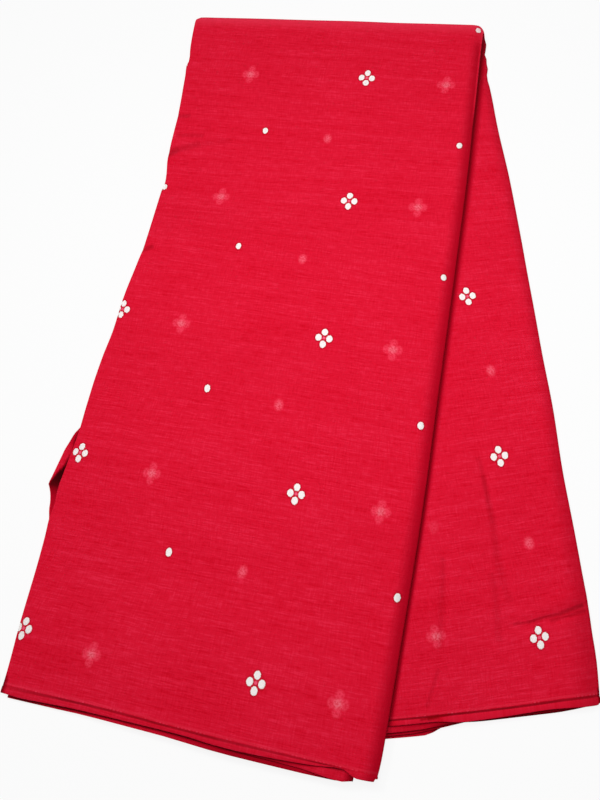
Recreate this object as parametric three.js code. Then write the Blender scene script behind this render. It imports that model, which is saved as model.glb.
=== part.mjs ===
import * as THREE from 'three';

// A cut length of fine handwoven cotton, folded for display.
//
// The cloth is folded in half along its length and then in half again. That makes a strip of four
// layers, with a rolled outer fold round an inner fold on the right, and a crisp fold over two free
// edges on the left. The strip is then folded once across, so a front leg lies on a back leg that fans
// out to the right. The whole cloth is one closed sheet. It rests on z = 0, +Y points to the cross fold
// and +X to the right.

// ---- Driving dimensions, in millimetres and degrees ----

const SHEET = 1.0; // thickness of one layer
const HEM_SHEET = 1.1; // thickness at the turned hem
const LAYER_GAP = 0.4; // air between two layers
const PITCH = SHEET + LAYER_GAP;
const OUTER_LEVEL = 3.5 * PITCH; // height of the outermost layer above the middle of the folded stack
const REST_PLANE = 0; // nothing reaches lower
const FOLD_HEIGHT = OUTER_LEVEL + SHEET / 2; // height of the middle of the stack and of the cross fold

const ROLL_WIDTH = 13; // band beside the right edge where the outer fold slopes down
const ROLL_TIP = 2.2; // height of the outer fold at its tip, between the middles of its two layers
const INNER_INSET = 15.5; // how far the inner fold stays back from the outer fold
const FREE_INSET = 5; // how far the two free edges stay back from the left fold
const CROSS_FOLD_STEPS = 6; // flats round the cross fold
const OUTER_FOLD_STEPS = 5; // flats round the outer fold
const TIGHT_FOLD_STEPS = 4; // flats round the left fold and the inner fold

const RAMP_START = 10; // the front leg starts to sink this far beyond the back leg's left edge
const RAMP_WIDTH = 110; // and lies on the rest plane after this much more
const FULL_DROP = FOLD_HEIGHT + 0.5 * PITCH - SHEET / 2;

const BACK_WIDTH = 279; // width of the back leg
const HEM_BOW = 6.4; // how far the back hem bows out at its middle
const HEM_REACH_START = 0.5; // share of a leg over which its layers keep the same length
const FOLD_CORNER = 6; // round corner at the right end of the cross fold
const CORNER_FADE = 40; // distance from the cross fold over which that corner fades

// Where every layer has its points, as shares of the width.
const ACROSS = [0.03, 0.13, 0.26, 0.4, 0.54, 0.68, 0.8, 0.9];
// Further points of the two outer layers, as distances from the right edge.
const ROLL_POINTS = [13.5, 9.5, 5.5];

// Sections of the front leg, from its hem up to the cross fold. y is measured at the left edge, rise is
// how much higher the right edge is, and flap is how far the free edges slip out past the left fold.
const FRONT_SECTIONS = [
  { y: -320, rise: -2, left: -196, right: 75, flap: 0 },
  { y: -302, rise: -2, left: -195, right: 77, flap: 0 },
  { y: -270, rise: -1, left: -195.5, right: 76.5, flap: 0 },
  { y: -236, rise: 0, left: -197, right: 76, flap: 0 },
  { y: -210, rise: 0, left: -198.5, right: 76, flap: 5 },
  { y: -192, rise: 0, left: -200, right: 76, flap: 7 },
  { y: -173, rise: 1, left: -198.5, right: 76, flap: 16 },
  { y: -154, rise: 1, left: -197.5, right: 76.5, flap: 13 },
  { y: -126, rise: 1, left: -197, right: 76.5, flap: 7 },
  { y: -76, rise: 2, left: -195.5, right: 77, flap: 0 },
  { y: -16, rise: 3, left: -192.5, right: 78, flap: 0 },
  { y: 56, rise: 4, left: -190, right: 79, flap: 0 },
  { y: 112, rise: 5, left: -188.5, right: 79.5, flap: 0 },
  { y: 152, rise: 6, left: -193, right: 80, flap: 0 },
  { y: 198, rise: 7, left: -196, right: 80, flap: 0 },
  { y: 244, rise: 8, left: -201, right: 79.5, flap: 0 },
  { y: 282, rise: 9, left: -205.5, right: 79, flap: 0 },
  { y: 302, rise: 10, left: -207.5, right: 78.5, flap: 0 },
  { y: 315, rise: 10, left: -202, right: 78, flap: 0 },
];

// Sections of the back leg, from the cross fold down to its hem: the place of the right edge, and how
// far the section tilts up to the right.
const BACK_SECTIONS = [
  { x: 82, y: 325.1, tilt: 2.05 },
  { x: 80.5, y: 317, tilt: 2.5 },
  { x: 83.5, y: 309, tilt: 3 },
  { x: 85.5, y: 291, tilt: 4.5 },
  { x: 86, y: 280, tilt: 5 },
  { x: 92, y: 260, tilt: 6.5 },
  { x: 101.5, y: 222, tilt: 9 },
  { x: 117.5, y: 160, tilt: 12 },
  { x: 133, y: 100, tilt: 14 },
  { x: 156.5, y: 0, tilt: 16.5 },
  { x: 167.5, y: -48, tilt: 17 },
  { x: 178, y: -97, tilt: 17.5 },
  { x: 188.5, y: -138, tilt: 18 },
  { x: 197, y: -172, tilt: 18 },
  { x: 201.5, y: -189, tilt: 18 },
  { x: 205.5, y: -206, tilt: 17.5 },
  { x: 209, y: -225, tilt: 17 },
  { x: 211.5, y: -246, tilt: 15 },
];

// How far each part of the cloth's end reaches past its last section, on the two hems. place runs along
// the folded section: 0 to 1 is the bottom layer of the front leg, from its free edge to the outer
// fold, 1 to 2 is the top layer back to the left fold, 2 to 3 the next layer, and 3 to 4 the last one
// to its free edge.
const HEM_REACH = [
  { place: 0.0, front: 5.0, back: 2.0 },
  { place: 0.5, front: 5.0, back: 3.0 },
  { place: 0.6, front: 5.0, back: 1.5 },
  { place: 0.68, front: 5.0, back: 4.8 },
  { place: 0.8, front: 5.0, back: 3.5 },
  { place: 0.96, front: 5.0, back: 4.5 },
  { place: 1.0, front: 3.5, back: 4.8 },
  { place: 1.04, front: 3.2, back: 5.6 },
  { place: 1.08, front: 0.6, back: 6.2 },
  { place: 1.2, front: 2.5, back: 6.3 },
  { place: 1.35, front: 3.8, back: 6.4 },
  { place: 1.42, front: 4.3, back: 10.5 },
  { place: 1.55, front: 4.4, back: 11.0 },
  { place: 1.95, front: 4.5, back: 4.0 },
  { place: 2.0, front: 5.0, back: 4.0 },
  { place: 2.06, front: 6.0, back: 4.0 },
  { place: 2.5, front: 6.5, back: 7.0 },
  { place: 2.94, front: 7.0, back: 5.5 },
  { place: 3.0, front: 8.0, back: 4.5 },
  { place: 3.07, front: 8.5, back: 3.5 },
  { place: 4.0, front: 6.5, back: 3.5 },
];

// Soft swells and creases, as a share of the height at that place. Each runs along a line at an angle.
const RELIEF = [
  { x: -60, y: 40, angle: 80, length: 420, width: 70, share: 0.05 },
  { x: 20, y: -180, angle: 96, length: 260, width: 46, share: 0.04 },
  { x: -120, y: 230, angle: 12, length: 200, width: 50, share: 0.04 },
  { x: 178, y: -206, angle: 24, length: 60, width: 12, share: 0.2 },
  { x: 104, y: -220, angle: 92, length: 120, width: 16, share: 0.12 },
];

const CLOTH_COLOUR = 0xdb1532;
const CLOTH_ROUGHNESS = 0.85;

// ---- Small helpers ----

function mix(from, to, share) {
  return from + (to - from) * share;
}

function smoothStep(share) {
  const s = THREE.MathUtils.clamp(share, 0, 1);
  return s * s * (3 - 2 * s);
}

// The value of one column of a table at a place between its rows.
function lookUp(table, place, column) {
  const upper = table.findIndex((row) => row.place >= place);
  if (upper <= 0) {
    return table[Math.max(upper, 0)][column];
  }
  const [before, after] = [table[upper - 1], table[upper]];
  return mix(before[column], after[column], (place - before.place) / (after.place - before.place));
}

// ---- The section: four layers, back and forth ----

// One point of the section. across is measured from the left edge, level from the middle of the stack,
// and place says where the point is along the cloth, as in HEM_REACH.
function sectionPoint(across, level, place) {
  return { across, level, place };
}

// Points round a half circle, from its start to its end, both left out. side is 1 on the right and -1
// on the left.
function halfCircle(centre, radius, side, steps, rising) {
  const points = [];
  for (let i = 1; i < steps; i += 1) {
    const angle = Math.PI * (i / steps - 0.5) * (rising ? 1 : -1);
    const across = centre.across + side * radius * Math.cos(angle);
    points.push(sectionPoint(across, centre.level + radius * Math.sin(angle), centre.place));
  }
  return points;
}

// How far the outer fold has closed at a distance across: 0 on the flat, 1 at its tip.
function rollShare(across, width) {
  return smoothStep((across - width + ROLL_WIDTH) / (ROLL_WIDTH - ROLL_TIP));
}

// The middle line of the folded section. turned is 0 on the front leg and 1 on the back leg: the tip of
// the outer fold always lies low, so the layer on top is the one that slopes down to it.
function sectionLine(width, flap, turned) {
  const closing = OUTER_LEVEL - 0.5 * PITCH - ROLL_TIP;
  const topLevel = (across) => OUTER_LEVEL - closing * (1 - turned) * rollShare(across, width);
  const bottomLevel = (across) => 0.5 * PITCH + closing * turned * rollShare(across, width);
  const flats = ACROSS.map((share) => share * width);
  const roll = ROLL_POINTS.map((distance) => width - distance);
  const outer = [...flats, ...roll];
  const tip = width - ROLL_TIP / 2;
  const tipMiddle = (bottomLevel(tip) + topLevel(tip)) / 2;
  const tight = PITCH / 2;
  const inner = width - INNER_INSET - tight;
  const freeEdge = FREE_INSET - flap;

  return [
    sectionPoint(freeEdge, bottomLevel(freeEdge), 0),
    ...outer.map((a) => sectionPoint(a, bottomLevel(a), a / width)),
    sectionPoint(tip, bottomLevel(tip), 1),
    ...halfCircle(sectionPoint(tip, tipMiddle, 1), ROLL_TIP / 2, 1, OUTER_FOLD_STEPS, true),
    sectionPoint(tip, topLevel(tip), 1),
    ...outer.toReversed().map((a) => sectionPoint(a, topLevel(a), 2 - a / width)),
    sectionPoint(tight, 3.5 * PITCH, 2),
    ...halfCircle(sectionPoint(tight, 3 * PITCH, 2), tight, -1, TIGHT_FOLD_STEPS, false),
    sectionPoint(tight, 2.5 * PITCH, 2),
    ...flats.map((a) => sectionPoint(a, 2.5 * PITCH, 2 + a / width)),
    sectionPoint(inner, 2.5 * PITCH, 3),
    ...halfCircle(sectionPoint(inner, 2 * PITCH, 3), tight, 1, TIGHT_FOLD_STEPS, false),
    sectionPoint(inner, 1.5 * PITCH, 3),
    ...flats.toReversed().map((a) => sectionPoint(a, 1.5 * PITCH, 4 - a / width)),
    sectionPoint(freeEdge, 1.5 * PITCH, 4),
  ];
}

// The two faces of the sheet: the middle line moved half a thickness to each side.
function sectionFaces(line, thickness) {
  const steps = line.slice(1).map((point, i) => {
    const step = new THREE.Vector2(point.across - line[i].across, point.level - line[i].level);
    return step.normalize();
  });
  const offset = (side) => line.map((point, i) => {
    const before = steps[Math.max(i - 1, 0)];
    const after = steps[Math.min(i, steps.length - 1)];
    const along = before.clone().add(after).normalize();
    const reach = (side * thickness) / 2 / along.dot(after);
    return sectionPoint(point.across - along.y * reach, point.level + along.x * reach, point.place);
  });
  return { first: offset(1), second: offset(-1) };
}

// ---- The sweep: front leg, cross fold, back leg ----

const LAST_FRONT = FRONT_SECTIONS.at(-1);
const FIRST_BACK = BACK_SECTIONS[0];

function backLeft(section) {
  const tilt = THREE.MathUtils.degToRad(section.tilt);
  const [run, climb] = [BACK_WIDTH * Math.cos(tilt), BACK_WIDTH * Math.sin(tilt)];
  return new THREE.Vector2(section.x - run, section.y - climb);
}

// Where one section stands: its two ends in plan, how far it has turned round the cross fold, which way
// the cloth runs on to its hem, and how much of the hem's reach it takes.
function frontStations() {
  const hemY = FRONT_SECTIONS[0].y;
  return FRONT_SECTIONS.map((row, i) => ({
    left: new THREE.Vector2(row.left, row.y),
    right: new THREE.Vector2(row.right, row.y + row.rise),
    turn: 0,
    flap: row.flap,
    toHem: new THREE.Vector2(0, -1),
    hemShare: smoothStep((LAST_FRONT.y - row.y) / (LAST_FRONT.y - hemY) / HEM_REACH_START - 1),
    hem: 'front',
    hemBow: 0,
    thickness: i === 0 ? HEM_SHEET : SHEET,
  }));
}

function crossFoldStations() {
  const start = {
    left: new THREE.Vector2(LAST_FRONT.left, LAST_FRONT.y),
    right: new THREE.Vector2(LAST_FRONT.right, LAST_FRONT.y + LAST_FRONT.rise),
  };
  const end = { left: backLeft(FIRST_BACK), right: new THREE.Vector2(FIRST_BACK.x, FIRST_BACK.y) };
  const stations = [];
  for (let i = 1; i < CROSS_FOLD_STEPS; i += 1) {
    const share = i / CROSS_FOLD_STEPS;
    stations.push({
      left: start.left.clone().lerp(end.left, share),
      right: start.right.clone().lerp(end.right, share),
      turn: Math.PI * share,
      flap: 0,
      toHem: new THREE.Vector2(0, -1),
      hemShare: 0,
      hem: 'front',
      hemBow: 0,
      thickness: SHEET,
    });
  }
  return stations;
}

function backStations() {
  const hemY = BACK_SECTIONS.at(-1).y;
  const run = new THREE.Vector2(BACK_SECTIONS.at(-1).x - FIRST_BACK.x, hemY - FIRST_BACK.y).normalize();
  return BACK_SECTIONS.map((row, i) => ({
    left: backLeft(row),
    right: new THREE.Vector2(row.x, row.y),
    turn: Math.PI,
    flap: 0,
    toHem: run,
    hemShare: smoothStep((FIRST_BACK.y - row.y) / (FIRST_BACK.y - hemY) / HEM_REACH_START - 1),
    hem: 'back',
    hemBow: HEM_BOW,
    thickness: i === BACK_SECTIONS.length - 1 ? HEM_SHEET : SHEET,
  }));
}

// The left edge of the back leg, which the front leg slides off.
const BACK_EDGE_TOP = backLeft(FIRST_BACK);
const BACK_EDGE_RUN = backLeft(BACK_SECTIONS.at(-1)).sub(BACK_EDGE_TOP).normalize();

// How far the front leg has sunk to the rest plane at a place in plan.
function frontDrop(plan) {
  const fromTop = plan.clone().sub(BACK_EDGE_TOP);
  const beyondEdge = BACK_EDGE_RUN.y * fromTop.x - BACK_EDGE_RUN.x * fromTop.y;
  return FULL_DROP * smoothStep((beyondEdge - RAMP_START) / RAMP_WIDTH);
}

// The share by which swells and creases lift the stack at a place in plan.
function relief(plan) {
  return RELIEF.reduce((sum, swell) => {
    const local = new THREE.Vector2(plan.x - swell.x, plan.y - swell.y);
    local.rotateAround(new THREE.Vector2(), -THREE.MathUtils.degToRad(swell.angle));
    const along = (2 * local.x) / swell.length;
    const beside = (2 * local.y) / swell.width;
    return sum + swell.share * Math.exp(-along * along - beside * beside);
  }, 0);
}

// The corner at the right end of the cross fold is rounded off in plan.
function cornerCut(across, width, plan) {
  const nearEnd = THREE.MathUtils.clamp(1 - (width - across) / FOLD_CORNER, 0, 1);
  const nearFold = smoothStep(1 - (LAST_FRONT.y - plan.y) / CORNER_FADE);
  return FOLD_CORNER * nearEnd * nearEnd * nearFold;
}

function placePoint(station, width, point) {
  const base = station.right.clone().sub(station.left).normalize();
  const outward = new THREE.Vector2(-base.y, base.x);
  const plan = station.left.clone().addScaledVector(base, point.across);
  plan.y -= cornerCut(point.across, width, plan);
  plan.addScaledVector(outward, point.level * Math.sin(station.turn));
  const bow = station.hemBow * Math.sin(Math.PI * THREE.MathUtils.clamp(point.across / width, 0, 1));
  const reach = lookUp(HEM_REACH, point.place, station.hem) + bow;
  plan.addScaledVector(station.toHem, reach * station.hemShare);
  const drop = station.turn === 0 ? frontDrop(plan) : 0;
  const height = Math.max(FOLD_HEIGHT + point.level * Math.cos(station.turn) - drop, REST_PLANE);
  return new THREE.Vector3(plan.x, plan.y, height * (1 + relief(plan)));
}

// ---- The closed sheet ----

// Two grids of points, one for each face of the sheet, with one row for each station. rightward tells
// which columns run to the right, so that all layers split their four-sided cells along one diagonal.
function sheetGrids() {
  const stations = [...frontStations(), ...crossFoldStations(), ...backStations()];
  const rows = stations.map((station) => {
    const width = station.left.distanceTo(station.right);
    const line = sectionLine(width, station.flap, station.turn / Math.PI);
    const faces = sectionFaces(line, station.thickness);
    return {
      first: faces.first.map((point) => placePoint(station, width, point)),
      second: faces.second.map((point) => placePoint(station, width, point)),
    };
  });
  const flatLine = sectionLine(BACK_WIDTH, 0, 0);
  return {
    first: rows.map((row) => row.first),
    second: rows.map((row) => row.second),
    rightward: flatLine.slice(1).map((point, i) => point.across > flatLine[i].across),
  };
}

function closedSheet({ first, second, rightward }) {
  const rowCount = first.length;
  const columnCount = first[0].length;
  const lastRow = rowCount - 1;
  const lastColumn = columnCount - 1;
  const positions = [...first.flat(), ...second.flat()].flatMap((point) => point.toArray());
  const indices = [];
  const firstAt = ([row, column]) => row * columnCount + column;
  const secondAt = (place) => rowCount * columnCount + firstAt(place);
  const addQuad = (a, b, c, d) => indices.push(a, b, c, a, c, d);
  const addRim = (from, to) => addQuad(firstAt(from), firstAt(to), secondAt(to), secondAt(from));
  const addCell = ([a, b, c, d], column) => {
    if (rightward[column]) {
      addQuad(a, b, c, d);
    } else {
      addQuad(b, c, d, a);
    }
  };

  for (let row = 0; row < lastRow; row += 1) {
    const next = row + 1;
    for (let column = 0; column < lastColumn; column += 1) {
      const beside = column + 1;
      const facing = [[row, column], [row, beside], [next, beside], [next, column]];
      const under = [[row, column], [next, column], [next, beside], [row, beside]];
      addCell(facing.map(firstAt), column);
      addCell(under.map(secondAt), column);
    }
    addRim([row, 0], [next, 0]);
    addRim([next, lastColumn], [row, lastColumn]);
  }
  for (let column = 0; column < lastColumn; column += 1) {
    const beside = column + 1;
    addRim([0, beside], [0, column]);
    addRim([lastRow, column], [lastRow, beside]);
  }

  const geometry = new THREE.BufferGeometry();
  geometry.setAttribute('position', new THREE.Float32BufferAttribute(positions, 3));
  geometry.setIndex(indices);
  return geometry;
}

// The origin is the middle of the footprint, on the rest plane.
function stoodOnOrigin(geometry) {
  geometry.computeBoundingBox();
  const centre = geometry.boundingBox.getCenter(new THREE.Vector3());
  geometry.translate(-centre.x, -centre.y, -geometry.boundingBox.min.z);
  geometry.computeVertexNormals();
  return geometry;
}

const cloth = new THREE.Mesh(
  stoodOnOrigin(closedSheet(sheetGrids())),
  new THREE.MeshStandardMaterial({ color: CLOTH_COLOUR, roughness: CLOTH_ROUGHNESS, metalness: 0 }),
);
cloth.name = 'folded_cloth';

const object = new THREE.Group();
object.add(cloth);

export default object;
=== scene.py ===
import math
from itertools import zip_longest

import bpy
import numpy as np
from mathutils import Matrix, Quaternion, Vector


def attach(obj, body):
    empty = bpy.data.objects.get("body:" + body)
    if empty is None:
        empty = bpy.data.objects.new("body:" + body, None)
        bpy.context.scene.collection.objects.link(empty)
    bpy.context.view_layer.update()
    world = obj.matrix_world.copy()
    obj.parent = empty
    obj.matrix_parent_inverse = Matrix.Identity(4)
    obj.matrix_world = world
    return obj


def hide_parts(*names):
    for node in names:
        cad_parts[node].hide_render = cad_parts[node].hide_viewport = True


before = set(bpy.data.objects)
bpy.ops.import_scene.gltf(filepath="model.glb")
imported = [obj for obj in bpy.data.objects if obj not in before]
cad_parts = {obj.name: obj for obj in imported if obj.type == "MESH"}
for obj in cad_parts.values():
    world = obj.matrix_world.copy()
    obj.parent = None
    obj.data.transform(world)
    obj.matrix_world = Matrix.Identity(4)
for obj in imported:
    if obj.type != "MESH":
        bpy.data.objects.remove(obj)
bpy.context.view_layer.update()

# A cut length of fine handwoven cotton with small woven sprigs, folded in four along its length and once
# across. The sheet is built as in the CAD: one section of four layers, swept down the front leg, round the
# cross fold and down the back leg. Sizes are in millimetres and degrees unless a name says otherwise, and
# the tables are laid out round TABLE_CENTRE, the middle of the footprint.

MM = 0.001
TABLE_CENTRE = (1.77, -0.14)


def named_rows(columns, *rows):
    """A short table: the names of its columns, then its rows. What a row leaves out is 0."""
    return [dict(zip_longest(columns.split(), row, fillvalue=0)) for row in rows]


def by_name(columns, **rows):
    """A table with a name for each row. What a row leaves out isn't given."""
    return {name: dict(zip(columns.split(), row)) for name, row in rows.items()}


# ---- The section ----

SHEET = 0.5  # thickness of the cloth
PITCH = 1.4  # from one layer to the next
OUTER_LEVEL = 3.5 * PITCH
FOLD_HEIGHT = OUTER_LEVEL + 0.5  # height of the cross fold's axis
LOWEST = 0.5 * SHEET + 0.05  # no middle line lies lower

ROLL_WIDTH = 13.0  # band beside the right edge where the outer layers come together
ROLL_POWER = 2.2  # how suddenly they do
ROLL_TIP = 2.2  # height of the outer fold at its tip
INNER_INSET = 15.5  # how far the inner fold stays back
FREE_INSET = 5.0  # how far the free edges stay back from the left fold
FRONT_HEM_Y = -320.0
FULL_DROP = FOLD_HEIGHT + 0.5 * PITCH - 0.5  # from on top of the back leg down to the floor
RAMP_START = 10.0  # how far past the back leg's left edge the front leg starts to drop
RAMP_WIDTH = 110.0
FULL_WEIGHT = 4.0  # from this height on a layer takes the whole of a swell or crease
HEM_BOW = 6.4  # how far the middle of the back leg's end bows out
FOLD_CORNER = 6.0  # how much the cross fold is rounded off at its right end
LEFT_CORNER = 3.0  # and at its left end
CORNER_FADE = 40.0  # over how much of the front leg
CURL_FULL = 1.5  # how far in from the free edge its curl is full
CURL_FADE = dict(share=0.4, least=2.0)  # over how much of what sticks out it dies out
SINK = dict(most=0.7, at=1.5, width=3.5)  # how the curled layer dips again beside the left fold

# The front leg, from its hem to the cross fold: how much a section rises to the right, its edges, how far
# the free edges stick out on the left, and how high the upper one of them stands.
FRONT = named_rows(
    "y rise left right flap curl",
    (-320, -2, -196.5, 75.7),
    (-313, -2, -196.6, 76.6),
    (-302, -2, -197, 77.2),
    (-281, -1, -198, 78),
    (-236, 0, -198.8, 79.4),
    (-210, 0, -200, 80.2, 4.6),
    (-199, 0, -201, 80.5, 6.2),
    (-190.5, 0, -200.6, 80.8, 9.2, 0.2),
    (-186.5, 0, -200.4, 80.9, 9.9, 0.5),
    (-180.5, 0, -201, 81, 10.8, 1),
    (-175.5, 0, -201.4, 81.2, 12.4, 1.6),
    (-171.7, 1, -201.6, 81.3, 14.2, 2.4),
    (-166, 1, -201.2, 81.4, 13.4, 2.8),
    (-155, 1, -200.3, 81.6, 12.6, 2.6),
    (-148, 1, -199.8, 81.7, 12.1, 2.3),
    (-142, 1, -199.3, 81.8, 11.8, 2),
    (-137, 1, -198.9, 81.8, 10.8, 1.7),
    (-131, 1, -198.6, 81.9, 9.7, 1.3),
    (-128, 1, -198.5, 81.9, 9, 1.1),
    (-124.5, 1, -198.4, 82, 7.4, 0.8),
    (-119.5, 1, -198.4, 82, 5.2, 0.4),
    (-110, 1, -198.8, 82, 1),
    (-87, 2, -199, 82),
    (-60, 2, -198, 82),
    (-32, 3, -195.6, 82.1),
    (-5, 3, -195.2, 82.2),
    (56, 4, -190.3, 82.3),
    (109, 5, -189.4, 82.3),
    (114, 5, -188.2, 82.3),
    (152, 6, -193.8, 82),
    (198, 7, -196.3, 81),
    (244, 8, -201.2, 80.2),
    (259, 8, -203.4, 79.8),
    (263, 9, -202.5, 79.7),
    (282, 9, -205.5, 79.3),
    (305, 10, -207.8, 79),
    (319.3, 9.9, -208.9, 79),
)

# The pocket between the top layer and the curled free edge beside it: how wide and how dark its painted
# shade is, and how dark the painted shade on the rest of that edge lies.
POCKET = named_rows(
    "y width depth dull",
    (-205, 0, 0.3),
    (-199, 1.5, 0.35),
    (-190, 3.4, 0.35),
    (-181, 6, 0.42, 0.05),
    (-175, 9, 0.66, 0.1),
    (-171.5, 9, 0.88, 0.05),
    (-164, 6.6, 0.97),
    (-158, 4.6, 0.98),
    (-154, 2.8, 0.96, 0.05),
    (-148, 2.2, 0.88, 0.05),
    (-143, 1.2, 0.65, 0.05),
    (-139, 1.6, 0.65, 0.1),
    (-134, 2.4, 0.75, 0.3),
    (-127, 2.2, 0.8, 0.36),
    (-121, 0.3, 0.5, 0.3),
)

# The back leg, from the cross fold to its hem: its right edge, how far a section tilts up to the right, and
# how wide the leg is.
BACK = named_rows(
    "x y tilt width",
    (81.4, 328.8, 1.5, 289),
    (82.8, 324, 2.2, 286),
    (84.4, 317.6, 2.5, 284),
    (82.3, 310.3, 3, 282),
    (85, 304.2, 3.5, 281),
    (86.6, 290.8, 4.5, 280),
    (88, 284.6, 4.8, 279),
    (87.8, 276.8, 5.3, 279),
    (90.6, 267.7, 6, 279),
    (94.8, 252.2, 7, 279),
    (102.5, 220.4, 9.1, 279),
    (119.2, 160, 12, 279),
    (133.9, 100, 14, 279),
    (157.6, 0, 16.5, 279),
    (169.5, -48, 17, 279),
    (179.8, -97, 17.5, 279),
    (190, -138, 18, 279),
    (198.2, -172, 18, 279),
    (202.2, -189, 18, 279),
    (205.5, -206, 17.5, 279),
    (209.5, -225, 17, 279),
    (212.3, -246, 15, 279),
)

# How far the cloth's end reaches past the last section, along the folded section, and how dark the painted
# shade
# of the layers above lies on it there: 0 to 1 is the layer under the front leg, 1 to 2 the one on top of
# it, 2 to 3 the next one down and 3 to 4 the last.
HEM_REACH = named_rows(
    "place front back front_dull back_dull",
    (0, 2, 2),
    (0.5, 2, 3),
    (0.6, 2, 2.6),
    (0.68, 2, 4.5),
    (0.75, 2, 4.3),
    (0.815, 2, 3.8),
    (0.87, 2.2, 3.5),
    (0.93, 2.4, 4.3),
    (0.96, 2.6, 5),
    (0.99, 2.8, 5.2),
    (1, 1.8, 4.2),
    (1.008, 3.7, 4.9),
    (1.048, 4, 5.7),
    (1.066, 2.4, 6),
    (1.083, 0.3, 6.2),
    (1.1, 0.4, 6.3, 0, 0.1),
    (1.142, 2, 6.1, 0, 0.15),
    (1.21, 3.3, 5.8, 0, 0.15),
    (1.28, 4.2, 5.6, 0, 0.12),
    (1.35, 4.7, 4.8, 0, 0.1),
    (1.42, 4.4, 10.6, 0, 0.15),
    (1.47, 3.5, 10.8, 0, 0.14),
    (1.55, 3.2, 11, 0, 0.12),
    (1.7, 3.5, 8.6, 0, 0.08),
    (1.8, 4, 6.6, 0, 0.05),
    (1.88, 5, 4.9, 0, 0.02),
    (1.95, 5.7, 4),
    (1.98, 5.3, 4),
    (2, 5, 4),
    (2.06, 6.3, 4, 0.1),
    (2.14, 5.4, 4.5, 0.35),
    (2.3, 3.8, 6),
    (2.45, 3.6, 9.2, 0, 0.1),
    (2.58, 5, 8.4, 0.3, 0.12),
    (2.68, 5.6, 4.6, 0.3, 0.1),
    (2.79, 5.6, 5, 0.15, 0.1),
    (2.858, 7, 5.1),
    (2.91, 8, 5),
    (2.94, 7, 4.6, 0.1),
    (3, 6.3, 4.5, 0.3),
    (3.06, 7.2, 3.6, 0.2),
    (3.1, 8.3, 3.5, 0.2),
    (3.21, 8.9, 3.9, 0.4),
    (3.34, 8.9, 4.4, 0.45),
    (3.42, 8.5, 6.5, 0.3, 0.1),
    (3.55, 7, 7.4, 0.1, 0.1),
    (3.75, 6.6, 5.5, 0, 0.1),
    (3.82, 7.1, 4.8, 0.1, 0.06),
    (3.86, 7.3, 4.5, 0.4, 0.04),
    (3.97, 7.6, 4, 0.5),
    (4, 7.2, 4, 0.5),
)

# How dark the painted shade in the groove above a hem is along the top layer of each leg, which is where
# its stitches sink in, and how far the groove lies from the hem's end.
GROOVE = named_rows(
    "share front back front_at back_at",
    (0, 0.25, 0.5, 4.4, 4.4),
    (0.03, 0.44, 0.5, 4.4, 4.4),
    (0.1, 0.58, 0.65, 4.5, 4.4),
    (0.18, 0.76, 0.7, 4.9, 4.5),
    (0.25, 0.8, 0.72, 5.3, 4.6),
    (0.32, 0.64, 0.75, 5.4, 4.7),
    (0.38, 0.76, 0.8, 5.3, 4.8),
    (0.46, 0.76, 0.8, 4.6, 5.2),
    (0.58, 0.78, 0.85, 4.4, 5.8),
    (0.64, 0.64, 0.88, 4.4, 5.9),
    (0.72, 0.58, 0.85, 4.4, 5.8),
    (0.8, 0.62, 0.85, 4.4, 5.7),
    (0.87, 0.85, 0.85, 4.4, 5.8),
    (0.9, 0.7, 0.8, 4.4, 5.8),
    (0.935, 0.35, 0.72, 4.4, 5.6),
    (0.96, 0.15, 0.7, 4.4, 5.4),
    (1, 0.05, 0.45, 4.4, 5.2),
)

# The woven rows of the front leg: where the middle column of flowers crosses them, how far apart the
# columns lie there, how much a row climbs to the right in 100 mm, and how large the flowers are. The
# pattern of the layer below lies "below" columns and "behind" rows further on.
FRONT_WEAVE = named_rows(
    "y row middle spacing tilt flower below behind",
    (-340, -4.45, -16, 180, -1, 0.98, -0.68),
    (-282.4, -4, -15.2, 179.6, -1.4, 0.98, -0.677),
    (-208, -3.5, -13.3, 170.3, -0.9, 0.98, -0.66),
    (-148, -3, -13.1, 179.3, -2.7, 0.98, -0.64),
    (-77.5, -2.5, -14.7, 172, -2.7, 1, -0.65),
    (-17.6, -2, -15.3, 178.3, -2.2, 1.03, -0.683),
    (55.2, -1.5, -16, 178.1, -4.6, 0.96, -0.672),
    (116.6, -1, -17, 176, 2.3, 1.05, -0.658),
    (185.8, -0.5, -18.3, 178.4, 0.6, 1.02, -0.667),
    (256, 0, -23.5, 187.5, -1, 1.11, -0.602),
    (300, 0.314, -22.6, 189.7, -3, 1.11, -0.6, -0.01),
    (326, 0.48, -22, 191, -4.2, 1, -0.6, -0.06),
    (340, 0.58, -22, 191, -4.2, 1, -0.6, -0.08),
)

# Where the woven rows meet the back leg's right edge, as distances from the cross fold, and how far the
# outer fold then lies from the cloth's own edge.
BACK_WEAVE = named_rows(
    "along row fold flower below behind",
    (0, 0.62, 278, 1, 0.466),
    (284.5, 3, 253.4, 0.97, 0.466),
    (419.4, 4, 246.9, 0.95, 0.463),
    (484.5, 4.5, 242, 0.95, 0.462, -0.002),
    (536.9, 4.915, 238.5, 0.91, 0.397, 0.1),
    (547.9, 5, 237.9, 0.91, 0.397, 0.1),
    (591.9, 5.34, 235.6, 0.91, 0.397, 0.1),
)

# ---- The woven pattern ----

COLUMN_SPACING = 175.0  # from one column of flowers to the next
ROW_SPACING = 132.3
FIRST_FLOWER_COLUMN = 201.0  # from the cloth's edge
FRONT_SKEW = 0.04  # how many rows further behind the layer below lies in each column to the left
PLAIN_EDGE = 16.0  # nothing is woven in so close to the cloth's own edges

# ---- Hems ----

HEM_WIDTH = 4.8
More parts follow.
